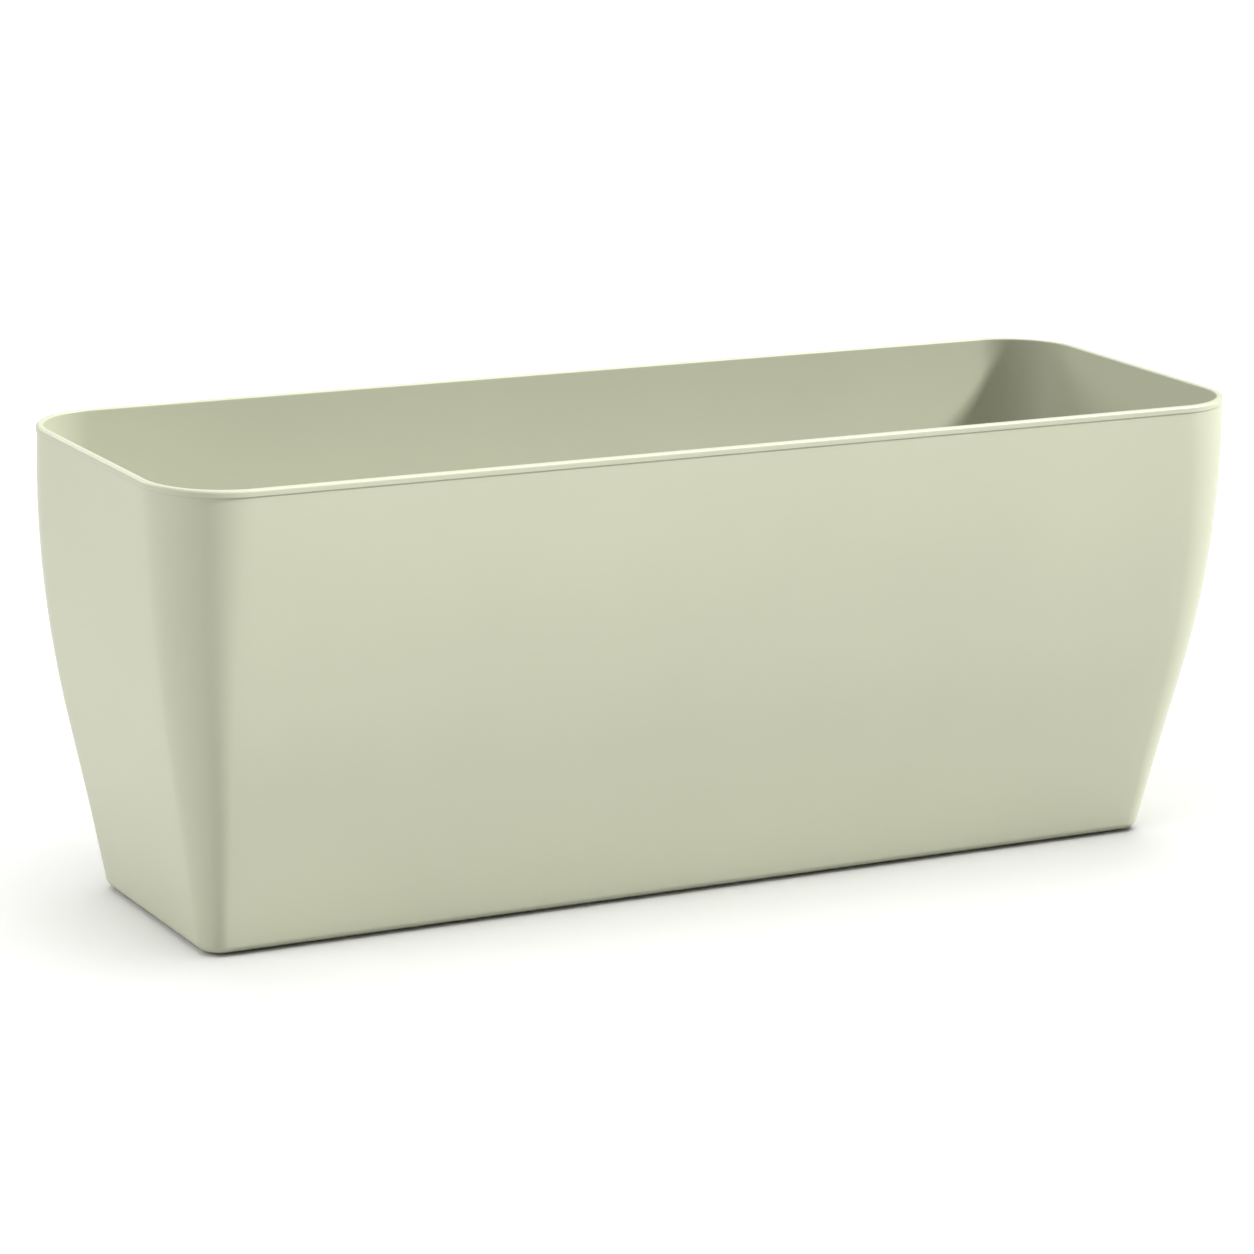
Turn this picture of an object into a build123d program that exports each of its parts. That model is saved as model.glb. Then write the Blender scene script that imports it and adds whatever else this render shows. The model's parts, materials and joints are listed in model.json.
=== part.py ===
from build123d import *
import os
from math import cos, radians, sin, sqrt, tan

# A self watering trough: a tapered shell holds water in its foot, and a drop-in insert
# carries the soil above it. X is the length, -Y the front, +Z up, and z = 0 is the
# surface that the foot pads stand on. Every size is in millimetres.

# ---------------------------------------------------------------- driving dimensions
LENGTH = 600.0          # over the rim lip
WIDTH = 205.0           # over the rim lip
HEIGHT = 236.0          # pads to rim
WALL = 3.0
RIM_CORNER = 40.0       # plan radius of the shell's corners at the rim
BASE_CORNER = 11.0      # and at the base
CURVE_DEPTH = 148.0     # the walls bend inwards over this depth below the rim
END_TAPER = 11.2        # degrees from upright below the bend, on the end walls
SIDE_TAPER = 12.5       # and on the long walls
HEEL_HEIGHT = 44.0      # below this the walls stand a little steeper again
HEEL_SHARE = 0.94       # share of the taper angle that is left there

LIP_HEIGHT = 3.4
LIP_STAND = 0.5         # how far the lip stands proud of the wall
LIP_ROUND = 1.4
MOUTH_EASE = 0.8        # round on the rim's inner edge

PAD_STAND = 1.5         # how far the foot pads stand below the shell
FLOOR_TOP = 6.5         # upper face of the shell's floor
PLATE_LEVEL = 62.0      # underside of the insert's platform
PLATE = 2.5             # platform thickness
PLATE_TOP = PLATE_LEVEL + PLATE
WATER_LEVEL = 50.0      # centre of the overflow ports
EDGE_GAP = 1.5          # platform edge to shell wall
SLIDING_GAP = 0.08      # radial clearance of the rubber bungs in their holes
SECTIONS = 10           # outlines that the shell is lofted through

# ---------------------------------------------------------------- shell details
BASE_ROUND = 4.0        # outer round along the bottom edge
FLOOR_ROUND = 5.0       # inner round between floor and walls
POCKET_DEPTH = 2.0      # relief pockets under the floor
POCKET_COUNT = 5
POCKET_PITCH = 86.0
POCKET_LENGTH = 80.0
POCKET_WIDTH = 100.0
PAD_RADIUS = 10.0
PAD_SEAT_DEPTH = 1.5
PAD_X, PAD_Y = 243.0, 40.0
PAD_PLACES = {
    "front_left": (-PAD_X, -PAD_Y),
    "front_right": (PAD_X, -PAD_Y),
    "back_left": (-PAD_X, PAD_Y),
    "back_right": (PAD_X, PAD_Y),
}

PORT_X = 150.0          # overflow ports, left and right of the middle
PORT_RADIUS = 6.0
PORT_COLLAR = 2.5       # how far each port's collar stands inside the wall
PLUG_HEAD = 9.5
DRAIN_X = 228.0
DRAIN_RADIUS = 9.0
BUNG_FLANGE = 13.0

# ---------------------------------------------------------------- insert details
BASKET_X = (-150.0, 0.0, 150.0)
BASKET_TOP_RADIUS = 42.0
BASKET_FOOT_RADIUS = 33.0
BASKET_WALL = 2.0
BASKET_FLANGE_RADIUS = 48.0
BASKET_FLANGE = 2.0
BASKET_SLOTS = 14

LEG_RADIUS, LEG_BORE = 8.0, 6.0
LEG_PLACES = {
    "front_left": (-195.0, -45.0),
    "front_mid_left": (-75.0, -45.0),
    "front_mid_right": (75.0, -45.0),
    "front_right": (195.0, -45.0),
    "back_left": (-225.0, 42.0),
    "back_mid_left": (-75.0, 45.0),
    "back_mid_right": (75.0, 45.0),
    "back_right": (225.0, 42.0),
}

WICK_X = (-75.0, 75.0)
WICK_WIDTH, WICK_THICK = 26.0, 2.5
WICK_HALF_SPAN = 25.0   # middle of the strip to the inside of each tail
WICK_END = 9.0          # lower end of the tails
WICK_BEND = 1.5         # inside radius where the strip turns down
WICK_HOLE = 5.0         # width of the slots that the tails hang through

FILL_X, FILL_Y = -237.0, -44.0
FILL_RADIUS, FILL_BORE = 16.0, 14.0
FILL_FOOT = 12.0
FILL_TOP = 189.0
FUNNEL_TOP = 203.0
FUNNEL_RADIUS = 21.0
FUNNEL_WALL = 2.0
FUNNEL_SLEEVE = 12.0    # how far the funnel slips down over the tube
COLLAR_HEIGHT = 4.0     # rings that stop each tube on the platform
COLLAR_WIDTH = 5.0
LID_THICK = 2.4
LID_GAP = 0.4
HINGE_Y = FILL_Y + 26.0
HINGE_Z = FUNNEL_TOP + 1.6
PIN_RADIUS = 1.5
PIN_LENGTH = 22.0
KNUCKLE_RADIUS = 3.6
KNUCKLE_HALF = 6.0      # the lid's knuckle fills the middle of the pin
EAR_THICK = 3.6

GAUGE_X, GAUGE_Y = 237.0, -42.0
GAUGE_RADIUS, GAUGE_BORE = 12.0, 10.0
GAUGE_TOP = 184.0
WINDOW_TOP = 208.0
WINDOW_RADIUS = 14.0
WINDOW_WALL = 1.6
WINDOW_LAP = 10.0
CAGE_RADIUS, CAGE_BORE = 20.0, 18.0
CAGE_FOOT = 8.5
FLOAT_RADIUS, FLOAT_HEIGHT = 16.5, 20.0
FLOAT_REST = 10.8
FLOAT_TRAVEL = 26.0
ROD_RADIUS = 2.0
TIP_RADIUS, TIP_HEIGHT = 8.0, 12.0
TIP_REST = 166.0

TAB_X = 261.0
TAB_WIDTH, TAB_THICK, TAB_TOP = 64.0, 3.0, 98.0

SLOT_LENGTH, SLOT_WIDTH = 15.0, 3.6
SLOT_PITCH_X, SLOT_PITCH_Y = 11.0, 22.5


# ---------------------------------------------------------------- the shell's own curve
def lean(z, taper):
    """How far a wall stands inside the rim at height z: upright at the rim, then an arc,
    then a straight taper, and a slightly steeper heel."""
    depth = HEIGHT - z
    radius = CURVE_DEPTH / sin(radians(taper))
    if depth <= 0:
        return 0.0
    if depth < CURVE_DEPTH:
        return radius - sqrt(radius**2 - depth**2)
    bent = radius * (1 - cos(radians(taper)))
    straight = min(depth, HEIGHT - HEEL_HEIGHT) - CURVE_DEPTH
    heel = max(0.0, HEEL_HEIGHT - z)
    return bent + straight * tan(radians(taper)) + heel * tan(radians(taper * HEEL_SHARE))


def half_length(z, inside=0.0):
    return LENGTH / 2 - LIP_STAND - lean(z, END_TAPER) - inside


def half_width(z, inside=0.0):
    return WIDTH / 2 - LIP_STAND - lean(z, SIDE_TAPER) - inside


def corner(z, inside=0.0):
    share = min(1.0, max(0.0, z / HEIGHT))
    return BASE_CORNER + (RIM_CORNER - BASE_CORNER) * share - inside


def outline(z, inside=0.0):
    """The shell's rounded outline at height z, moved in by `inside`."""
    size = (2 * half_length(z, inside), 2 * half_width(z, inside))
    return Pos(0, 0, z) * RectangleRounded(*size, corner(z, inside))


def tapered(levels, inside=0.0):
    """A solid whose sides follow the shell's curve through the given heights."""
    return loft([outline(z, inside) for z in levels])


def cylinder(x, y, low, high, radius):
    return Pos(x, y, low) * extrude(Circle(radius), high - low)


def tube(x, y, low, high, radius, bore):
    return Pos(x, y, low) * extrude(Circle(radius) - Circle(bore), high - low)


def ring_of(count, start=0.0):
    return [start + k * 360.0 / count for k in range(count)]


# ---------------------------------------------------------------- the shell and what is in it
def wall_port(x):
    """The frame of an overflow port: origin on the back wall's outer face, +Z out of the wall."""
    y = half_width(WATER_LEVEL)
    out = (0, cos(radians(SIDE_TAPER)), -sin(radians(SIDE_TAPER)))
    return Plane(origin=(x, y, WATER_LEVEL), x_dir=(1, 0, 0), z_dir=out)


def planter_body():
    rise = (HEIGHT - PAD_STAND) / (SECTIONS - 1)
    levels = [PAD_STAND + k * rise for k in range(SECTIONS)]
    outer = tapered(levels)
    outer = fillet(outer.faces().sort_by(Axis.Z)[0].edges(), BASE_ROUND)

    lip_base = HEIGHT - LIP_HEIGHT
    lip = RectangleRounded(LENGTH, WIDTH, RIM_CORNER + LIP_STAND)
    lip = Pos(0, 0, lip_base) * extrude(lip, LIP_HEIGHT)
    lip = fillet(lip.faces().sort_by(Axis.Z)[-1].edges(), LIP_ROUND)
    lip = fillet(lip.faces().sort_by(Axis.Z)[0].edges(), LIP_STAND / 2)

    cavity = tapered([FLOOR_TOP] + levels[1:], WALL)
    cavity = fillet(cavity.faces().sort_by(Axis.Z)[0].edges(), FLOOR_ROUND)

    # The rim's inner edge is eased.
    mouth = outline(HEIGHT, WALL).face()
    mouth_ease = loft([Pos(0, 0, -MOUTH_EASE) * mouth, offset(mouth, MOUTH_EASE)])
    body = (outer + lip) - cavity - mouth_ease

    # Relief pockets under the floor leave ribs between them.
    for k in range(POCKET_COUNT):
        x = (k - (POCKET_COUNT - 1) / 2) * POCKET_PITCH
        pocket = extrude(RectangleRounded(POCKET_LENGTH, POCKET_WIDTH, 8), POCKET_DEPTH)
        body -= Pos(x, 0, PAD_STAND) * pocket

    for x, y in PAD_PLACES.values():
        body -= cylinder(x, y, PAD_STAND, PAD_STAND + PAD_SEAT_DEPTH, PAD_RADIUS)

    # A collar inside the wall gives each overflow plug a longer grip.
    for x in (-PORT_X, PORT_X):
        port = wall_port(x)
        collar = extrude(Circle(PORT_RADIUS + WALL), PORT_COLLAR + WALL / 2)
        body += port * (Pos(0, 0, -WALL - PORT_COLLAR) * collar)
        body -= port * extrude(Circle(PORT_RADIUS), 5 * WALL, both=True)

    body -= cylinder(DRAIN_X, 0, 0, FLOOR_TOP + WALL, DRAIN_RADIUS)
    return body


def foot_pad(x, y):
    pad = cylinder(x, y, 0, PAD_STAND + PAD_SEAT_DEPTH, PAD_RADIUS)
    return chamfer(pad.faces().sort_by(Axis.Z)[0].edges(), 0.5)


def overflow_plug(x):
    """A rubber bung in the back wall, with a domed head and a tapered nose."""
    section = Circle(PORT_RADIUS - SLIDING_GAP)
    grip, gap = WALL + PORT_COLLAR + 1, 0.3
    shank = Pos(0, 0, -grip) * extrude(section, grip + gap)
    nose = Pos(0, 0, -grip) * extrude(section, -2.0, taper=25)
    head = Pos(0, 0, gap) * extrude(Circle(PLUG_HEAD), 3.2)
    head = fillet(head.faces().sort_by(Axis.Z)[-1].edges(), 1.8)
    return wall_port(x) * (shank + nose + head)


def drain_bung():
    """A rubber bung pressed into the floor from above, with a waisted knob to pull it by."""
    low, gap, flange = 2.5, 0.1, 2.4
    foot = cylinder(DRAIN_X, 0, low, FLOOR_TOP + gap, DRAIN_RADIUS - SLIDING_GAP)
    profile = [
        (0, FLOOR_TOP + gap),
        (BUNG_FLANGE, FLOOR_TOP + gap),
        (BUNG_FLANGE, FLOOR_TOP + flange),
        (5.0, FLOOR_TOP + flange + 0.6),
        (4.2, FLOOR_TOP + 7.0),
        (7.0, FLOOR_TOP + 9.0),
        (7.0, FLOOR_TOP + 11.0),
        (5.0, FLOOR_TOP + 12.6),
        (0, FLOOR_TOP + 12.6),
    ]
    section = Plane.XZ * make_face(Polyline(profile, close=True))
    return foot + Pos(DRAIN_X, 0, 0) * revolve(section, Axis.Z)


# ---------------------------------------------------------------- the drop-in insert
def platform_slots():
    """Places of the drainage slots: a grid, less what stands on or under the platform."""
    keep_out = [(x, 0.0, BASKET_FLANGE_RADIUS + 3) for x in BASKET_X]
    keep_out += [(x, y, LEG_RADIUS + 3) for x, y in LEG_PLACES.values()]
    keep_out += [(FILL_X, FILL_Y, 25.0), (GAUGE_X, GAUGE_Y, 27.0)]
    places = []
    for i in range(-24, 25):
        for j in (-2.5, -1.5, -0.5, 0.5, 1.5, 2.5):
            x, y = i * SLOT_PITCH_X, j * SLOT_PITCH_Y
            reach_x = half_length(PLATE_LEVEL, WALL + EDGE_GAP) - 8
            reach_y = half_width(PLATE_LEVEL, WALL + EDGE_GAP) - 8
            if abs(x) > reach_x or abs(y) + SLOT_LENGTH / 2 > reach_y:
                continue
            # The wicks' slots and the lift tabs' feet keep their own ground.
            if any(abs(x - w) < WICK_WIDTH / 2 + 5 and abs(y) < 42 for w in WICK_X):
                continue
            if abs(abs(x) - TAB_X) < 9 and abs(y) < TAB_WIDTH / 2 + 10:
                continue
            ends = [(x, y - SLOT_LENGTH / 2), (x, y + SLOT_LENGTH / 2)]
            if any((px - a) ** 2 + (py - b) ** 2 < r**2 for px, py in ends for a, b, r in keep_out):
                continue
            places.append((x, y))
    return places


def reservoir_platform():
    inset = WALL + EDGE_GAP
    skirt_top = PLATE_TOP + 10
    tray = loft([outline(PLATE_LEVEL, inset), outline(skirt_top, inset)])
    hollow = loft([outline(PLATE_TOP, inset + 2), outline(skirt_top + 2, inset + 2)])
    plate = tray - hollow

    # Stiffening ribs run along the underside between the legs and the baskets.
    rib_depth, rib = 6.0, 2.0
    for y in (-58.0, 58.0):
        plate += Pos(0, y, PLATE_LEVEL - rib_depth / 2) * Box(380, rib, rib_depth)
    # Spigots that the legs push on to.
    for x, y in LEG_PLACES.values():
        plate += cylinder(x, y, PLATE_LEVEL - 9, PLATE_LEVEL, LEG_BORE - 0.05)

    holes = [Pos(x, 0) * Circle(BASKET_TOP_RADIUS + 0.6) for x in BASKET_X]
    holes += [Pos(FILL_X, FILL_Y) * Circle(FILL_RADIUS + 0.2)]
    holes += [Pos(GAUGE_X, GAUGE_Y) * Circle(GAUGE_RADIUS + 0.2)]
    slot = Rot(0, 0, 90) * SlotOverall(SLOT_LENGTH, SLOT_WIDTH)
    holes += [Pos(x, y) * slot for x, y in platform_slots()]
    wick_y = WICK_HALF_SPAN + WICK_THICK / 2 - 0.4
    wick_hole = RectangleRounded(WICK_WIDTH + 2, WICK_HOLE, 1.5)
    holes += [Pos(x, y) * wick_hole for x in WICK_X for y in (-wick_y, wick_y)]
    holes += [Pos(x, y) * Circle(2.1) for x in (-TAB_X, TAB_X) for y in (-22.0, 22.0)]
    cut = extrude(Sketch(children=[h.face() for h in holes]), PLATE + 2)
    return plate - Pos(0, 0, PLATE_LEVEL - 1) * cut


def soil_basket(x):
    """A slotted cup that lets soil reach the water; its flange rests on the platform."""
    foot_z = FLOOR_TOP + 2.5
    top_z = PLATE_TOP + BASKET_FLANGE
    outer = [
        (0, foot_z),
        (BASKET_FOOT_RADIUS, foot_z),
        (BASKET_TOP_RADIUS, PLATE_TOP),
        (BASKET_FLANGE_RADIUS, PLATE_TOP),
        (BASKET_FLANGE_RADIUS, top_z),
        (BASKET_TOP_RADIUS - BASKET_WALL, top_z),
        (BASKET_FOOT_RADIUS - BASKET_WALL, foot_z + BASKET_WALL),
        (0, foot_z + BASKET_WALL),
    ]
    cup = revolve(Plane.XZ * make_face(Polyline(outer, close=True)), Axis.Z)

    slot = Plane.YZ * (Pos(0, 34.0) * SlotOverall(36.0, 3.0, rotation=90))
    cutter = Pos(BASKET_FOOT_RADIUS - 8, 0, 0) * extrude(slot, 20)
    for angle in ring_of(BASKET_SLOTS):
        cup -= Rot(0, 0, angle) * cutter
    floor_holes = [Rot(0, 0, a) * Pos(18, 0) * Circle(2.5) for a in ring_of(8, 22.5)]
    floor_holes += [Circle(3.0)]
    cup -= Pos(0, 0, foot_z - 1) * extrude(Sketch(children=[h.face() for h in floor_holes]), 5)

    for angle in ring_of(4, 45):
        cup += Rot(0, 0, angle) * cylinder(27, 0, FLOOR_TOP, foot_z, 3.0)
    # Snap lugs catch under the platform.
    for angle in ring_of(3, 30):
        lug = Pos(BASKET_TOP_RADIUS - 0.2, 0, PLATE_LEVEL - 1.4) * Box(2.4, 8, 2.0)
        cup += Rot(0, 0, angle) * lug
    return Pos(x, 0, 0) * cup


def support_leg(x, y):
    leg = tube(x, y, FLOOR_TOP, PLATE_LEVEL, LEG_RADIUS, LEG_BORE)
    leg += tube(x, y, FLOOR_TOP, FLOOR_TOP + 2, LEG_RADIUS + 3, LEG_BORE)
    # Notches at the foot let the water in and out.
    notch = Box(4 * LEG_RADIUS, 4, 5)
    for angle in (0, 90):
        leg -= Pos(x, y, FLOOR_TOP + 2.5) * Rot(0, 0, angle) * notch
    return leg


def wick_strip(x):
    """A felt strip over the platform, with a tail through a slot on each side."""
    inner = WICK_HALF_SPAN
    outer = inner + WICK_THICK
    top = PLATE_TOP + WICK_THICK
    points = [
        (-outer, WICK_END), (-outer, top), (outer, top), (outer, WICK_END),
        (inner, WICK_END), (inner, PLATE_TOP), (-inner, PLATE_TOP), (-inner, WICK_END),
    ]
    face = make_face(Polyline(points, close=True))
    bends = face.vertices().filter_by(lambda v: v.Y > PLATE_TOP - 1)
    inside = bends.filter_by(lambda v: v.Y < PLATE_TOP + 1)
    outside = bends.filter_by(lambda v: v.Y > PLATE_TOP + 1)
    face = fillet(inside, WICK_BEND)
    outside = face.vertices().filter_by(lambda v: v.Y > top - 0.1)
    face = fillet(outside, WICK_BEND + WICK_THICK)
    strip = extrude(Plane.YZ * face, WICK_WIDTH)
    return Pos(x - WICK_WIDTH / 2, 0, 0) * strip


def lift_tab(x):
    """A grip that clips to the platform's end, to lift the insert out by."""
    foot = Pos(x, 0, PLATE_TOP + 1.25) * Box(12, TAB_WIDTH, 2.5)
    plate_height = TAB_TOP - PLATE_TOP
    plate_face = RectangleRounded(TAB_WIDTH, plate_height, 10)
    finger_hole = Pos(0, 4) * RectangleRounded(TAB_WIDTH - 20, 15, 7)
    upright = Plane.YZ * (plate_face - finger_hole)
    upright = extrude(upright, TAB_THICK / 2, both=True)
    upright = Pos(x, 0, PLATE_TOP + plate_height / 2) * upright
    below = Pos(x, 0, PLATE_TOP + 2.5) * Box(TAB_THICK, TAB_WIDTH, 5)
    tab = foot + upright + below
    for y in (-22.0, 22.0):
        tab += cylinder(x, y, PLATE_LEVEL - 1.5, PLATE_TOP, 2.0)
    return tab


# ---------------------------------------------------------------- the filling shaft
def fill_tube():
    """A plain tube to the water, notched at its foot."""
    shaft = tube(FILL_X, FILL_Y, FILL_FOOT, FILL_TOP, FILL_RADIUS, FILL_BORE)
    notch = Box(4 * FILL_RADIUS, 8, 12)
    for angle in (0, 90):
        shaft -= Pos(FILL_X, FILL_Y, FILL_FOOT + 4) * Rot(0, 0, angle) * notch
    return shaft


def stop_collar(x, y, radius):
    """A ring that grips a tube and rests on the platform."""
    ring = tube(x, y, PLATE_TOP, PLATE_TOP + COLLAR_HEIGHT, radius + COLLAR_WIDTH, radius)
    outer_edge = ring.faces().sort_by(Axis.Z)[-1].edges().sort_by(SortBy.RADIUS)[-1]
    return chamfer(outer_edge, 1.5)


def fill_funnel():
    """The filling tube's mouth: a sleeve, a cone, an upright rim and two hinge ears."""
    rim_bore = FUNNEL_RADIUS - FUNNEL_WALL
    sleeve_radius = FILL_RADIUS + FUNNEL_WALL
    rim_height = 3.0
    shoulder = FILL_BORE + 0.6
    profile = [
        (FILL_RADIUS, FILL_TOP - FUNNEL_SLEEVE),
        (sleeve_radius, FILL_TOP - FUNNEL_SLEEVE),
        (sleeve_radius, FILL_TOP + 4),
        (FUNNEL_RADIUS, FUNNEL_TOP - rim_height),
        (FUNNEL_RADIUS, FUNNEL_TOP),
        (rim_bore, FUNNEL_TOP),
        (rim_bore, FUNNEL_TOP - rim_height),
        (shoulder, FILL_TOP + 1.5),
        (shoulder, FILL_TOP),
        (FILL_RADIUS, FILL_TOP),
    ]
    body = revolve(Plane.XZ * make_face(Polyline(profile, close=True)), Axis.Z)
    body = Pos(FILL_X, FILL_Y, 0) * body

    # Each ear is an arm from the funnel's rim out to the hinge pin.
    ear_depth = 6.0
    reach = HINGE_Y - FILL_Y - FUNNEL_RADIUS + FUNNEL_WALL
    for side in (-1, 1):
        x = FILL_X + side * (KNUCKLE_HALF + 0.4 + EAR_THICK / 2)
        arm = Pos(x, HINGE_Y - reach / 2, FUNNEL_TOP - ear_depth / 2) * Box(EAR_THICK, reach, ear_depth)
        eye = Pos(x, HINGE_Y, HINGE_Z) * Rot(0, 90, 0) * Cylinder(KNUCKLE_RADIUS, EAR_THICK)
        web_height = HINGE_Z - FUNNEL_TOP + ear_depth
        web = Pos(x, HINGE_Y, HINGE_Z - web_height / 2)
        web *= Box(EAR_THICK, 2 * KNUCKLE_RADIUS, web_height)
        body += arm + eye + web
    body -= Pos(FILL_X, HINGE_Y, HINGE_Z) * Rot(0, 90, 0) * Cylinder(PIN_RADIUS, 2 * PIN_LENGTH)
    bore = cylinder(FILL_X, FILL_Y, FUNNEL_TOP - rim_height, FUNNEL_TOP + 9, rim_bore)
    return body - bore


def lid_hinge_pin():
    return Pos(FILL_X, HINGE_Y, HINGE_Z) * Rot(0, 90, 0) * Cylinder(PIN_RADIUS, PIN_LENGTH)


def fill_lid():
    """A round flap over the funnel, with a thumb lip in front and a knuckle behind."""
    low = FUNNEL_TOP + LID_GAP
    disc = Pos(FILL_X, FILL_Y, low) * extrude(Circle(FUNNEL_RADIUS + 0.8), LID_THICK)
    disc = fillet(disc.faces().sort_by(Axis.Z)[-1].edges(), 1.2)
    thumb = Pos(FILL_X, FILL_Y - FUNNEL_RADIUS - 1, low + LID_THICK / 2)
    thumb *= Box(13, 8, LID_THICK)
    thumb = fillet(thumb.edges().filter_by(Axis.Z), 3)
    # A shallow plug under the lid drops into the funnel's mouth.
    plug = Pos(FILL_X, FILL_Y, low) * extrude(Circle(FUNNEL_RADIUS - 4), -2.6)
    plug -= Pos(FILL_X, FILL_Y, low) * extrude(Circle(FUNNEL_RADIUS - 5.6), -2.6)
    lid = disc + thumb + plug

    reach = HINGE_Y - FILL_Y - FUNNEL_RADIUS + 4
    arm = Pos(FILL_X, HINGE_Y - reach / 2, low + LID_THICK / 2)
    arm *= Box(2 * KNUCKLE_HALF, reach, LID_THICK)
    knuckle = Pos(FILL_X, HINGE_Y, HINGE_Z) * Rot(0, 90, 0)
    lid += arm + knuckle * Cylinder(KNUCKLE_RADIUS, 2 * KNUCKLE_HALF)
    lid -= knuckle * Cylinder(PIN_RADIUS + 0.06, 4 * KNUCKLE_HALF)
    return lid


# ---------------------------------------------------------------- the water level gauge
def gauge_tube():
    """A guide tube on the platform; its lower end is the float's upper stop."""
    low = FLOAT_REST + FLOAT_HEIGHT + FLOAT_TRAVEL + 0.3
    return tube(GAUGE_X, GAUGE_Y, low, GAUGE_TOP, GAUGE_RADIUS, GAUGE_BORE)


def gauge_window():
    """The clear cap over the guide tube, in which the coloured tip shows. Its shoulder
    sits on the tube's end."""
    low = GAUGE_TOP - WINDOW_LAP
    dome = 6.0
    outer = Pos(0, 0, low) * extrude(Circle(WINDOW_RADIUS), WINDOW_TOP - low)
    outer = fillet(outer.faces().sort_by(Axis.Z)[-1].edges(), dome)
    sleeve = Pos(0, 0, low) * extrude(Circle(GAUGE_RADIUS + 0.1), WINDOW_LAP)
    inside_top = WINDOW_TOP - WINDOW_WALL
    inner = Pos(0, 0, low) * extrude(Circle(GAUGE_BORE + 1), inside_top - low)
    inner = fillet(inner.faces().sort_by(Axis.Z)[-1].edges(), dome - 1)
    return Pos(GAUGE_X, GAUGE_Y, 0) * (outer - sleeve - inner)


def float_cage():
    """A slotted cup under the platform that keeps roots off the float."""
    wall = Pos(0, 0, CAGE_FOOT) * extrude(Circle(CAGE_RADIUS), PLATE_LEVEL - CAGE_FOOT)
    bore = Pos(0, 0, CAGE_FOOT + 2) * extrude(Circle(CAGE_BORE), PLATE_LEVEL - CAGE_FOOT - 2)
    cage = wall - bore
    cage += tube(0, 0, PLATE_LEVEL - 2, PLATE_LEVEL, CAGE_RADIUS + 4, CAGE_BORE)
    slot = extrude(Plane.YZ * (Pos(0, 34.0) * SlotOverall(34.0, 4.0, rotation=90)), 40)
    for angle in ring_of(8):
        cage -= Rot(0, 0, angle) * slot
    holes = [Rot(0, 0, a) * Pos(11, 0) * Circle(2.5) for a in ring_of(6)]
    cage -= Pos(0, 0, CAGE_FOOT - 1) * extrude(Sketch(children=[h.face() for h in holes]), 5)
    return Pos(GAUGE_X, GAUGE_Y, 0) * cage


def water_float():
    body = cylinder(GAUGE_X, GAUGE_Y, FLOAT_REST, FLOAT_REST + FLOAT_HEIGHT, FLOAT_RADIUS)
    ends = body.faces().filter_by(GeomType.PLANE).edges()
    body = fillet(ends, 2.5)
    return body - cylinder(GAUGE_X, GAUGE_Y, FLOAT_REST + 5, 100, ROD_RADIUS)


def float_rod():
    return cylinder(GAUGE_X, GAUGE_Y, FLOAT_REST + 5, TIP_REST + 6, ROD_RADIUS)


def indicator_tip():
    tip = cylinder(GAUGE_X, GAUGE_Y, TIP_REST, TIP_REST + TIP_HEIGHT, TIP_RADIUS)
    tip = fillet(tip.faces().sort_by(Axis.Z)[-1].edges(), 2.5)
    return tip - cylinder(GAUGE_X, GAUGE_Y, TIP_REST, TIP_REST + 6, ROD_RADIUS)


# ---------------------------------------------------------------- write every piece
def pieces():
    made = {
        "planter_body": planter_body(),
        "overflow_plug_left": overflow_plug(-PORT_X),
        "overflow_plug_right": overflow_plug(PORT_X),
        "drain_bung": drain_bung(),
        "reservoir_platform": reservoir_platform(),
        "lift_tab_left": lift_tab(-TAB_X),
        "lift_tab_right": lift_tab(TAB_X),
        "fill_tube": fill_tube(),
        "fill_collar": stop_collar(FILL_X, FILL_Y, FILL_RADIUS),
        "fill_funnel": fill_funnel(),
        "fill_lid": fill_lid(),
        "lid_hinge_pin": lid_hinge_pin(),
        "gauge_tube": gauge_tube(),
        "gauge_collar": stop_collar(GAUGE_X, GAUGE_Y, GAUGE_RADIUS),
        "gauge_window": gauge_window(),
        "float_cage": float_cage(),
        "water_float": water_float(),
        "float_rod": float_rod(),
        "indicator_tip": indicator_tip(),
    }
    for name, x in zip(("left", "middle", "right"), BASKET_X):
        made["soil_basket_" + name] = soil_basket(x)
    for name, x in zip(("left", "right"), WICK_X):
        made["wick_strip_" + name] = wick_strip(x)
    for name, (x, y) in LEG_PLACES.items():
        made["support_leg_" + name] = support_leg(x, y)
    for name, (x, y) in PAD_PLACES.items():
        made["foot_pad_" + name] = foot_pad(x, y)
    return made


os.makedirs("parts", exist_ok=True)
for node, shape in pieces().items():
    export_step(shape, f"parts/{node}.step")
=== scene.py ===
import json
import math

import bpy
from mathutils import Matrix, Vector


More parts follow.
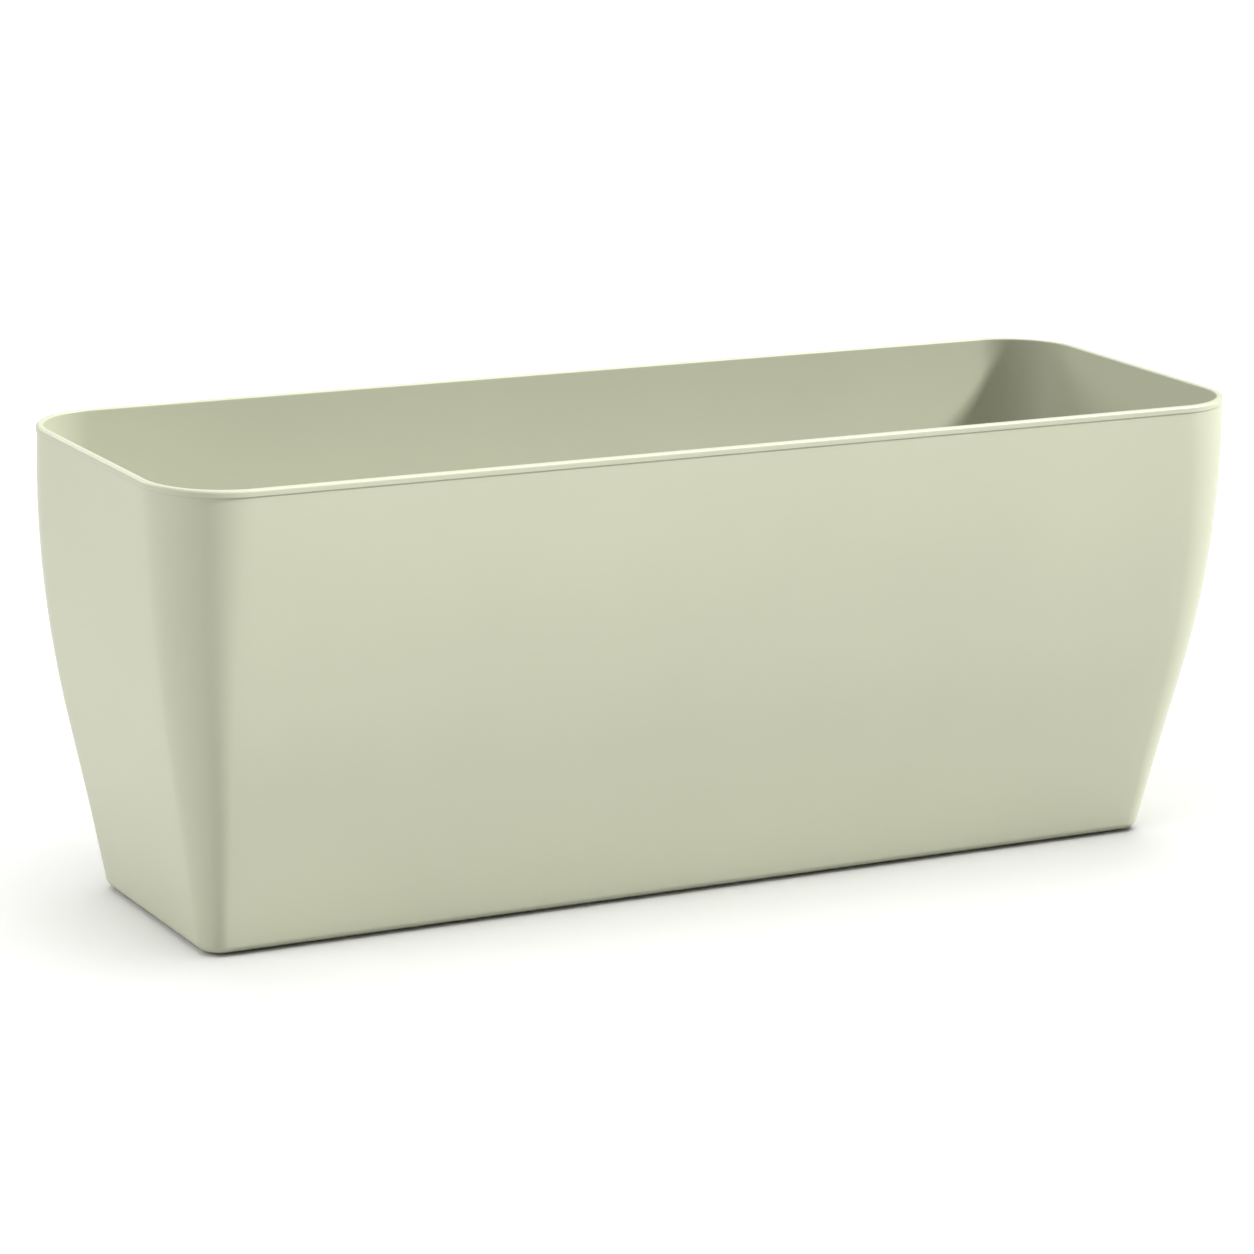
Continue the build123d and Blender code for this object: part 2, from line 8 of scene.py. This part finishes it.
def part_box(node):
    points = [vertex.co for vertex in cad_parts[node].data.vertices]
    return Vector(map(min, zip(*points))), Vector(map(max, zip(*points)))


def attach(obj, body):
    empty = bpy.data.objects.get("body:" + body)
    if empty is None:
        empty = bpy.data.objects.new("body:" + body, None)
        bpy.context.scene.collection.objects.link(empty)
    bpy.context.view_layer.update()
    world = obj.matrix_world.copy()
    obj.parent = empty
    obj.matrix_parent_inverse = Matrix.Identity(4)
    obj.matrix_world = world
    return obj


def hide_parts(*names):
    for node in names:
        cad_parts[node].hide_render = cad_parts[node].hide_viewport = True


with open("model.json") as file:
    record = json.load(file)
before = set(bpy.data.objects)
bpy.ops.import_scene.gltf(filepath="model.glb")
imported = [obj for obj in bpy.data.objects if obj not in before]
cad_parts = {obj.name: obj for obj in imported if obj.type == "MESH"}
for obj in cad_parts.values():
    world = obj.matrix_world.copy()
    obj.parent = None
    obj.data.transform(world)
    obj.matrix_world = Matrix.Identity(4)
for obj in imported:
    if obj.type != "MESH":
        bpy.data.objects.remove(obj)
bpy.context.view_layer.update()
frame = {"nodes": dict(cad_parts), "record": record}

# The looks of a self watering trough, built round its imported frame. Lengths are in metres
# and angles in degrees. The trough's length runs along X, its front faces -Y, and it
# stands on z = 0.

SHELL_LOW, SHELL_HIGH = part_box("planter_body")
MM = 0.001

# ---------------------------------------------------------------- the shell's measures
LENGTH = SHELL_HIGH.x - SHELL_LOW.x         # over the rim lip
WIDTH = SHELL_HIGH.y - SHELL_LOW.y
RIM = SHELL_HIGH.z                          # height of the rim
UNDERSIDE = SHELL_LOW.z
WALL = 3.0 * MM
FLOOR_TOP = 6.5 * MM
RIM_CORNER = 40.0 * MM
BASE_CORNER = 11.0 * MM
CURVE_DEPTH = 148.0 * MM                    # the walls bend inwards over this depth
END_TAPER = 11.2
SIDE_TAPER = 12.5
HEEL_HEIGHT = 44.0 * MM                     # below this the walls stand a little steeper
HEEL_SHARE = 0.94
LIP_HEIGHT = 3.4 * MM
LIP_STAND = 0.5 * MM
LIP_ROUND = 1.4 * MM
MOUTH_EASE = 0.8 * MM
BASE_ROUND = 4.0 * MM
FLOOR_ROUND = 5.0 * MM
POCKET = (80.0 * MM, 100.0 * MM, 8.0 * MM)  # length, width and corner of a floor pocket
POCKET_DEPTH = 2.0 * MM
POCKET_PITCH = 86.0 * MM
POCKET_COUNT = 5
PAD_SEAT_DEPTH = 1.5 * MM
PORT_RADIUS = 6.0 * MM
PORT_COLLAR = 2.5 * MM
WATER_LEVEL = 50.0 * MM
DRAIN_RADIUS = 9.0 * MM
TOOL_REACH = 5.0 * MM                       # how far a cutting tool stands below z = 0
DRAIN_TOOL = 20.0 * MM

# ---------------------------------------------------------------- camera and light
CAMERA_AZIMUTH = -28.44                     # from the front towards +X
CAMERA_ELEVATION = 13.95
CAMERA_ROLL = 1.26
CAMERA_DISTANCE = 2.3737
CAMERA_TARGET = Vector((-0.0084, 0.0, 0.1229))
CAMERA_LENS, CAMERA_SENSOR = 134.06, 36.0   # millimetres
FLOOR_REACH = 6.0
WORLD_STRENGTH = 0.10
LIGHTS = (
    # name, azimuth, elevation, spread, strength, and how it treats the floor: LIT lights
    # everything, EXCLUDE all but the floor, and INCLUDE only the floor
    ("key", 61, 38, 10, 1.78, "EXCLUDE"),
    ("front_top", 22, 50, 60, 0.10, "LIT"),
    ("top", 60, 76, 50, 0.40, "EXCLUDE"),
    ("right", 60, 25, 60, 0.05, "EXCLUDE"),
    ("left_low", -100, 10, 40, 0.30, "EXCLUDE"),
    ("left_high", -80, 35, 50, 0.38, "LIT"),
    ("left_back", -157, 24, 24, 0.42, "EXCLUDE"),
    ("back", 160, 35, 60, 0.20, "LIT"),
    ("floor_wash", 60, 84, 60, 0.76, "INCLUDE"),
)


def centre_of(node):
    low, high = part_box(node)
    return (low + high) / 2


# ---------------------------------------------------------------- small mesh helpers
def link(name, mesh, material=None):
    piece = bpy.data.objects.new(name, mesh)
    bpy.context.scene.collection.objects.link(piece)
    if material is not None:
        mesh.materials.append(material)
    return piece


def smooth(mesh, angle=35.0):
    mesh.polygons.foreach_set("use_smooth", [True] * len(mesh.polygons))
    mesh.set_sharp_from_angle(angle=math.radians(angle))


def mesh_of_rings(name, rings, cap_first=True, cap_last=True):
    """A skin over closed rings of equally many points, with flat caps at its two ends."""
    count = len(rings[0])
    points = [p for ring in rings for p in ring]
    faces = []
    for k in range(len(rings) - 1):
        for i in range(count):
            j = (i + 1) % count
            a, b = k * count, (k + 1) * count
            faces.append((a + i, a + j, b + j, b + i))
    if cap_first:
        faces.append(tuple(reversed(range(count))))
    if cap_last:
        last = (len(rings) - 1) * count
        faces.append(tuple(range(last, last + count)))
    mesh = bpy.data.meshes.new(name)
    mesh.from_pydata(points, [], faces)
    return mesh


def apply_modifiers(piece):
    graph = bpy.context.evaluated_depsgraph_get()
    done = bpy.data.meshes.new_from_object(piece.evaluated_get(graph))
    piece.modifiers.clear()
    piece.data = done


def cut(piece, tools, operation="DIFFERENCE"):
    """Cuts the tools out of the piece, or joins them to it, and deletes them."""
    for tool in tools:
        change = piece.modifiers.new("cut", "BOOLEAN")
        change.operation = operation
        change.solver = "EXACT"
        change.object = tool
    bpy.context.view_layer.update()
    apply_modifiers(piece)
    for tool in tools:
        bpy.data.objects.remove(tool)


def rod(radius, length, place, sides=48):
    """A closed cylinder whose lower end is at the place's origin, along its Z."""
    rings = []
    for z in (0, length):
        ring = [2 * math.pi * k / sides for k in range(sides)]
        rings.append([place @ Vector((radius * math.cos(a), radius * math.sin(a), z)) for a in ring])
    return link("tool", mesh_of_rings("tool", rings))


def rounded_slab(size, low, high, x, y):
    """A closed slab with rounded corners between two heights."""
    length, width, corner = size
    rings = [[Vector((x + px, y + py, z)) for px, py in
              rounded_rectangle(length / 2, width / 2, corner, 8, 4, 4)] for z in (low, high)]
    return link("tool", mesh_of_rings("tool", rings))


# ---------------------------------------------------------------- the shell
def lean(z, taper):
    """How far a wall stands inside the rim at height z."""
    depth = RIM - z
    radius = CURVE_DEPTH / math.sin(math.radians(taper))
    if depth <= 0:
        return 0.0
    if depth < CURVE_DEPTH:
        return radius - math.sqrt(radius**2 - depth**2)
    bent = radius * (1 - math.cos(math.radians(taper)))
    straight = min(depth, RIM - HEEL_HEIGHT) - CURVE_DEPTH
    heel = max(0.0, HEEL_HEIGHT - z)
    slope = math.tan(math.radians(taper))
    return bent + straight * slope + heel * math.tan(math.radians(taper * HEEL_SHARE))


def rounded_rectangle(half_x, half_y, corner, steps, along_x, along_y):
    """Points of a rounded rectangle, anticlockwise, with evenly divided sides."""
    points = []
    places = ((1, 1, 0, along_x), (-1, 1, 90, along_y), (-1, -1, 180, along_x), (1, -1, 270, along_y))
    for side_x, side_y, start, along in places:
        cx, cy = side_x * (half_x - corner), side_y * (half_y - corner)
        arc = [math.radians(start + 90.0 * k / steps) for k in range(steps + 1)]
        points += [(cx + corner * math.cos(a), cy + corner * math.sin(a)) for a in arc]
        # The straight run to the next corner starts where this arc ends.
        x, y = points[-1]
        run_x = -2 * (half_x - corner) * side_x if start in (0, 180) else 0.0
        run_y = -2 * (half_y - corner) * side_y if start in (90, 270) else 0.0
        points += [(x + run_x * k / along, y + run_y * k / along) for k in range(1, along)]
    return points


CORNER_STEPS = 20
STEPS_ALONG_X = 60
STEPS_ALONG_Y = 16


def shell_ring(z, inside):
    """One ring of the shell at height z, moved in from the outer wall by `inside`."""
    share = min(1.0, max(0.0, z / RIM))
    corner = BASE_CORNER + (RIM_CORNER - BASE_CORNER) * share - inside
    half_x = LENGTH / 2 - LIP_STAND - lean(z, END_TAPER) - inside
    half_y = WIDTH / 2 - LIP_STAND - lean(z, SIDE_TAPER) - inside
    outline = rounded_rectangle(half_x, half_y, corner, CORNER_STEPS, STEPS_ALONG_X, STEPS_ALONG_Y)
    return [Vector((x, y, z)) for x, y in outline]


def wall_inset(z, height, radius):
    """Inset from the wall, at height z, of a round of this radius on a flat at `height`."""
    return radius * (1 - math.sqrt(max(0.0, 1 - (1 - (z - height) / radius) ** 2)))


def round_levels(height, radius, steps=8):
    """Heights along a quarter round that rises from a flat."""
    return [height + radius * (1 - math.cos(math.radians(90.0 * k / steps))) for k in range(steps)]


def shell_profile():
    """(height, inset) pairs from the underside, up the outer wall, over the rim and down
    the inner wall to the floor. Close pairs hold the shading flat beside each round."""
    hold = 0.4 * MM
    pairs = [(UNDERSIDE, BASE_ROUND + hold)]
    pairs += [(z, wall_inset(z, UNDERSIDE, BASE_ROUND)) for z in round_levels(UNDERSIDE, BASE_ROUND)]
    low, high = UNDERSIDE + BASE_ROUND, RIM - LIP_HEIGHT
    count = 36
    pairs += [(low + (high - low) * k / count, 0.0) for k in range(count)]
    pairs += [(high - 0.2 * MM, 0.0), (high, 0.0)]
    # Under the lip, up its face and over its top.
    under = LIP_STAND / 2
    pairs += [(high, -LIP_STAND + under)]
    for k in range(1, 5):
        a = math.radians(90.0 * k / 4)
        pairs.append((high + under * (1 - math.cos(a)), -LIP_STAND + under * (1 - math.sin(a))))
    top = RIM - LIP_ROUND
    pairs += [(high + under + 0.2 * MM, -LIP_STAND), (top - 0.2 * MM, -LIP_STAND)]
    for k in range(9):
        a = math.radians(90.0 * k / 8)
        pairs.append((top + LIP_ROUND * math.sin(a), -LIP_STAND + LIP_ROUND * (1 - math.cos(a))))
    pairs.append((RIM, -LIP_STAND + LIP_ROUND + 0.2 * MM))
    # The mouth's inner edge, then down the inner wall.
    pairs.append((RIM, WALL - MOUTH_EASE - 0.2 * MM))
    for k in range(6):
        a = math.radians(90.0 * k / 5)
        pairs.append((RIM - MOUTH_EASE * (1 - math.cos(a)), WALL - MOUTH_EASE * (1 - math.sin(a))))
    low = FLOOR_TOP + FLOOR_ROUND
    high = RIM - MOUTH_EASE
    pairs.append((high - 0.3 * MM, WALL))
    pairs += [(high + (low - high) * k / count, WALL) for k in range(1, count)]
    rising = round_levels(FLOOR_TOP, FLOOR_ROUND)
    pairs += [(z, WALL + wall_inset(z, FLOOR_TOP, FLOOR_ROUND)) for z in [low] + rising[::-1]]
    pairs.append((FLOOR_TOP, WALL + FLOOR_ROUND + hold))
    return pairs


def port_place(plug):
    """The frame of an overflow port: origin on the wall's outer face, Z out of the wall."""
    y = WIDTH / 2 - LIP_STAND - lean(WATER_LEVEL, SIDE_TAPER)
    tilt = Matrix.Rotation(math.radians(-90 - SIDE_TAPER), 4, "X")
    return Matrix.Translation((centre_of(plug).x, y, WATER_LEVEL)) @ tilt


def planter_shell(material):
    rings = [shell_ring(z, inside) for z, inside in shell_profile()]
    piece = link("trough_shell", mesh_of_rings("trough_shell", rings), material)
    ports = [port_place(plug) for plug in ("overflow_plug_left", "overflow_plug_right")]
    into = Matrix.Translation((0, 0, -WALL - PORT_COLLAR))
    collars = [rod(PORT_RADIUS + WALL, PORT_COLLAR + WALL / 2, port @ into) for port in ports]
    cut(piece, collars, "UNION")

    through = Matrix.Translation((0, 0, -5 * WALL))
    tools = [rod(PORT_RADIUS, 10 * WALL, port @ through) for port in ports]
    drain = centre_of("drain_bung")
    tools.append(rod(DRAIN_RADIUS, DRAIN_TOOL, Matrix.Translation((drain.x, drain.y, -TOOL_REACH))))
    for name in ("front_left", "front_right", "back_left", "back_right"):
        low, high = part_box("foot_pad_" + name)
        middle = (low + high) / 2
        place = Matrix.Translation((middle.x, middle.y, -TOOL_REACH))
        tools.append(rod((high.x - low.x) / 2, UNDERSIDE + PAD_SEAT_DEPTH + TOOL_REACH, place))
    for k in range(POCKET_COUNT):
        x = (k - (POCKET_COUNT - 1) / 2) * POCKET_PITCH
        tools.append(rounded_slab(POCKET, -TOOL_REACH, UNDERSIDE + POCKET_DEPTH, x, 0))
    cut(piece, tools)
    smooth(piece.data)
    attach(piece, "planter")
    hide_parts("planter_body")


# ---------------------------------------------------------------- felt wicks
FELT_THICK = 2.5 * MM
FELT_BEND = 2.75 * MM                       # radius of the strip's middle where it turns down
FELT_MARGIN = 0.3 * MM                      # room inside the strip's size for waver and nap
FELT_NAP = 0.35 * MM
EDGE_WAVER = 0.25 * MM
WICK_STEPS = 150
WICK_COLUMNS = 16


def wick_path(low, high):
    """A function from the distance along the strip's middle to (y, z, normal y, normal z),
    and the strip's whole length. The strip goes up, over the platform and down again."""
    half = (high.y - low.y - FELT_THICK) / 2
    middle = (high.y + low.y) / 2
    top = high.z - FELT_THICK / 2
    tail, arc, flat = top - FELT_BEND - low.z, FELT_BEND * math.pi / 2, 2 * (half - FELT_BEND)

    def at(s):
        if s < tail:
            return middle - half, low.z + s, -1.0, 0.0
        s -= tail
        if s < arc:
            a = s / FELT_BEND
            return (middle - half + FELT_BEND * (1 - math.cos(a)), top - FELT_BEND * (1 - math.sin(a)),
                    -math.cos(a), math.sin(a))
        s -= arc
        if s < flat:
            return middle - half + FELT_BEND + s, top, 0.0, 1.0
        s -= flat
        if s < arc:
            a = s / FELT_BEND
            return (middle + half - FELT_BEND * (1 - math.sin(a)), top - FELT_BEND * (1 - math.cos(a)),
                    math.sin(a), math.cos(a))
        return middle + half, top - FELT_BEND - (s - arc), 1.0, 0.0

    return at, 2 * tail + 2 * arc + flat


def felt_wick(side, material, phase):
    """A needled felt strip, cut with shears: its edges waver, and its tails hang a little wavy."""
    node = "wick_strip_" + side
    low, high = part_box(node)
    at, length = wick_path(low, high)
    half_width = (high.x - low.x) / 2
    middle = (high.x + low.x) / 2
    tail = high.z - low.z
    points = []
    for i in range(WICK_STEPS + 1):
        s = length * i / WICK_STEPS
        y, z, ny, nz = at(s)
        from_end = min(s, length - s)
        loose = max(0.0, 1 - from_end / (0.8 * tail))
        for k in range(WICK_COLUMNS + 1):
            across = 2 * k / WICK_COLUMNS - 1
            edge = EDGE_WAVER * math.sin(900 * s + phase + 2 * across) * abs(across) ** 3
            swing = 0.5 * math.sin(140 * s + phase) + 0.35 * across * math.sin(90 * s + 2 * phase)
            wave = loose * MM * swing
            x = middle + across * (half_width - FELT_MARGIN) + edge
            points.append((x, y + ny * wave, z + nz * wave))
    row = WICK_COLUMNS + 1
    faces = [(i * row + k, i * row + k + 1, (i + 1) * row + k + 1, (i + 1) * row + k)
             for i in range(WICK_STEPS) for k in range(WICK_COLUMNS)]
    mesh = bpy.data.meshes.new("felt_wick_" + side)
    mesh.from_pydata(points, [], faces)
    piece = link("felt_wick_" + side, mesh, material)
    solid = piece.modifiers.new("thickness", "SOLIDIFY")
    solid.thickness = FELT_THICK - FELT_MARGIN
    solid.offset = 0.0
    rounding = piece.modifiers.new("edges", "BEVEL")
    rounding.width = 0.5 * MM
    rounding.segments = 2
    rounding.limit_method = "ANGLE"
    rounding.angle_limit = math.radians(50)
    fuzz = bpy.data.textures.new("felt_fuzz_" + side, "CLOUDS")
    fuzz.noise_scale = 3.0 * MM
    fuzz.noise_depth = 2
    nap = piece.modifiers.new("nap", "DISPLACE")
    nap.texture = fuzz
    nap.texture_coords = "LOCAL"
    nap.strength = FELT_NAP
    nap.mid_level = 0.5
    bpy.context.view_layer.update()
    apply_modifiers(piece)
    smooth(piece.data, 60)
    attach(piece, "insert")
    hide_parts(node)


# ---------------------------------------------------------------- softened CAD pieces
def soften(node, width):
    """Rounds a moulded CAD piece's sharp edges, without touching its mesh."""
    piece = frame["nodes"][node]
    weld = piece.modifiers.new("weld", "WELD")
    weld.merge_threshold = 0.005 * MM
    rounding = piece.modifiers.new("edges", "BEVEL")
    rounding.width = width
    rounding.segments = 2
    rounding.limit_method = "ANGLE"
    rounding.angle_limit = math.radians(38)
    rounding.use_clamp_overlap = True
    rounding.harden_normals = False
    shade = piece.modifiers.new("shade", "WEIGHTED_NORMAL")
    shade.keep_sharp = False
    shade.weight = 60


# ---------------------------------------------------------------- materials
GRAIN_HEIGHT = 0.05 * MM
TONE_SCALE = 9.0


def new_material(name, color, roughness):
    material = bpy.data.materials.new(name)
    material.use_nodes = True
    shader = material.node_tree.nodes["Principled BSDF"]
    shader.inputs["Base Color"].default_value = (*color, 1.0)
    shader.inputs["Roughness"].default_value = roughness
    return material, material.node_tree, shader


def linear(red, green, blue):
    """An sRGB colour given as 0 to 255, as the renderer's linear values."""
    made = []
    for value in (red, green, blue):
        share = value / 255
        made.append(share / 12.92 if share <= 0.04045 else ((share + 0.055) / 1.055) ** 2.4)
    return tuple(made)


def grain(tree, shader, scale, strength, distance):
    """A fine noise bump in object space; gives back its coordinates."""
    nodes, links = tree.nodes, tree.links
    place = nodes.new("ShaderNodeTexCoord")
    noise = nodes.new("ShaderNodeTexNoise")
    noise.inputs["Scale"].default_value = scale
    noise.inputs["Detail"].default_value = 3.0
    bump = nodes.new("ShaderNodeBump")
    bump.inputs["Strength"].default_value = strength
    bump.inputs["Distance"].default_value = distance
    links.new(place.outputs["Object"], noise.inputs["Vector"])
    links.new(noise.outputs["Fac"], bump.inputs["Height"])
    links.new(bump.outputs["Normal"], shader.inputs["Normal"])
    return place


def vary(tree, place, shader, color, scale, amount):
    """Slow changes of tone over the surface."""
    nodes, links = tree.nodes, tree.links
    noise = nodes.new("ShaderNodeTexNoise")
    noise.inputs["Scale"].default_value = scale
    noise.inputs["Detail"].default_value = 2.0
    ramp = nodes.new("ShaderNodeMapRange")
    ramp.inputs["From Min"].default_value = 0.3
    ramp.inputs["From Max"].default_value = 0.7
    mix = nodes.new("ShaderNodeMix")
    mix.data_type = "RGBA"
    mix.inputs["A"].default_value = (*[c * (1 - amount) for c in color], 1.0)
    mix.inputs["B"].default_value = (*[min(1.0, c * (1 + amount)) for c in color], 1.0)
    links.new(place.outputs["Object"], noise.inputs["Vector"])
    links.new(noise.outputs["Fac"], ramp.inputs["Value"])
    links.new(ramp.outputs["Result"], mix.inputs["Factor"])
    links.new(mix.outputs["Result"], shader.inputs["Base Color"])


def plastic(name, color, roughness, scale, strength, amount=0.015):
    material, tree, shader = new_material(name, color, roughness)
    place = grain(tree, shader, scale, strength, GRAIN_HEIGHT)
    vary(tree, place, shader, color, TONE_SCALE, amount)
    return material


def clear_plastic():
    material, tree, shader = new_material("clear_plastic", (0.80, 0.88, 0.87), 0.12)
    shader.inputs["Transmission Weight"].default_value = 0.95
    shader.inputs["IOR"].default_value = 1.49
    return material


# ---------------------------------------------------------------- camera, floor and light
def make_camera():
    """Looks from the left of the front, a little above the rim."""
    azimuth, elevation = math.radians(CAMERA_AZIMUTH), math.radians(CAMERA_ELEVATION)
    back = Vector((math.sin(azimuth) * math.cos(elevation),
                   -math.cos(azimuth) * math.cos(elevation), math.sin(elevation)))
    data = bpy.data.cameras.new("camera")
    data.sensor_width = CAMERA_SENSOR
    data.lens = CAMERA_LENS
    camera = bpy.data.objects.new("camera", data)
    bpy.context.scene.collection.objects.link(camera)
    camera.rotation_mode = "QUATERNION"
    camera.location = CAMERA_TARGET + back * CAMERA_DISTANCE
    facing = (-back).to_track_quat("-Z", "Y")
    camera.rotation_quaternion = facing @ Matrix.Rotation(math.radians(CAMERA_ROLL), 4, "Z").to_quaternion()
    bpy.context.scene.camera = camera


def soft_sun(name, azimuth, elevation, spread, strength):
    """A large far softbox: azimuth is from the front towards +X, spread is how wide it looks,
    and a strength of 1 makes a white surface that faces it white."""
    data = bpy.data.lights.new(name, "SUN")
    data.energy = strength * math.pi
    data.angle = math.radians(spread)
    light = bpy.data.objects.new(name, data)
    bpy.context.scene.collection.objects.link(light)
    turn, rise = math.radians(azimuth), math.radians(elevation)
    away = Vector((math.sin(turn) * math.cos(rise), -math.cos(turn) * math.cos(rise), math.sin(rise)))
    light.rotation_mode = "QUATERNION"
    light.rotation_quaternion = (-away).to_track_quat("-Z", "Y")
    return light


def link_to_floor(light, floor, state):
    """INCLUDE lets a light reach only the floor, and EXCLUDE all but the floor."""
    group = bpy.data.collections.new(light.name + "_reach")
    group.objects.link(floor)
    light.light_linking.receiver_collection = group
    group.collection_objects[0].light_linking.link_state = state


def make_lights(floor):
    for name, azimuth, elevation, spread, strength, reach in LIGHTS:
        light = soft_sun(name, azimuth, elevation, spread, strength)
        if reach != "LIT":
            link_to_floor(light, floor, reach)


def make_stage():
    material = new_material("studio_floor", (0.93, 0.93, 0.93), 0.9)[0]
    reach = FLOOR_REACH
    mesh = bpy.data.meshes.new("floor")
    corners = [(-reach, -reach, 0), (reach, -reach, 0), (reach, reach, 0), (-reach, reach, 0)]
    mesh.from_pydata(corners, [], [(0, 1, 2, 3)])
    floor = link("floor", mesh, material)
    make_lights(floor)
    world = bpy.data.worlds.new("studio")
    world.use_nodes = True
    world.node_tree.nodes["Background"].inputs["Color"].default_value = (1.0, 1.0, 1.0, 1.0)
    world.node_tree.nodes["Background"].inputs["Strength"].default_value = WORLD_STRENGTH
    bpy.context.scene.world = world
    bpy.context.scene.view_settings.view_transform = "Standard"


# ---------------------------------------------------------------- put it together
make_camera()
make_stage()
sage = plastic("sage_plastic", linear(174, 176, 154), 0.4, 900.0, 0.12)
stone = plastic("stone_plastic", linear(122, 125, 117), 0.55, 900.0, 0.3, 0.05)
red = plastic("signal_red", linear(190, 40, 30), 0.3, 500.0, 0.05)
steel = plastic("pin_steel", linear(180, 180, 182), 0.3, 500.0, 0.05)
steel.node_tree.nodes["Principled BSDF"].inputs["Metallic"].default_value = 1.0
foam = plastic("float_foam", linear(228, 228, 222), 0.8, 1500.0, 0.6)
pale = plastic("rod_plastic", linear(215, 215, 210), 0.4, 700.0, 0.1)
rubber = plastic("sage_rubber", linear(150, 152, 132), 0.75, 1200.0, 0.3)
pad_rubber = plastic("pad_rubber", linear(70, 70, 70), 0.8, 1200.0, 0.3)
felt = plastic("felt", linear(205, 202, 192), 0.95, 1200.0, 0.9)
SOFTENED = {"reservoir_platform": 0.4 * MM, "fill_funnel": 0.4 * MM, "fill_lid": 0.35 * MM,
            "lift_tab_left": 0.5 * MM, "lift_tab_right": 0.5 * MM, "float_cage": 0.3 * MM,
            "fill_tube": 0.3 * MM, "gauge_tube": 0.3 * MM, "drain_bung": 0.5 * MM}
SOFTENED.update({"soil_basket_" + place: 0.4 * MM for place in ("left", "middle", "right")})
LOOKS = {
    "shell": sage, "insert": stone, "tab": stone, "lid": sage, "pin": steel,
    "window": clear_plastic(), "float": foam, "rod": pale, "signal": red,
    "seal": rubber, "pad": pad_rubber, "felt": felt,
}
for row in frame["record"]["subparts"]:
    node = frame["nodes"][row["node"]]
    node.data.materials.clear()
    node.data.materials.append(LOOKS[row["material_slot"]])

planter_shell(sage)
for side, phase in (("left", 0.4), ("right", 2.1)):
    felt_wick(side, felt, phase)
for row in frame["record"]["subparts"]:
    if row["node"] in SOFTENED:
        soften(row["node"], SOFTENED[row["node"]])
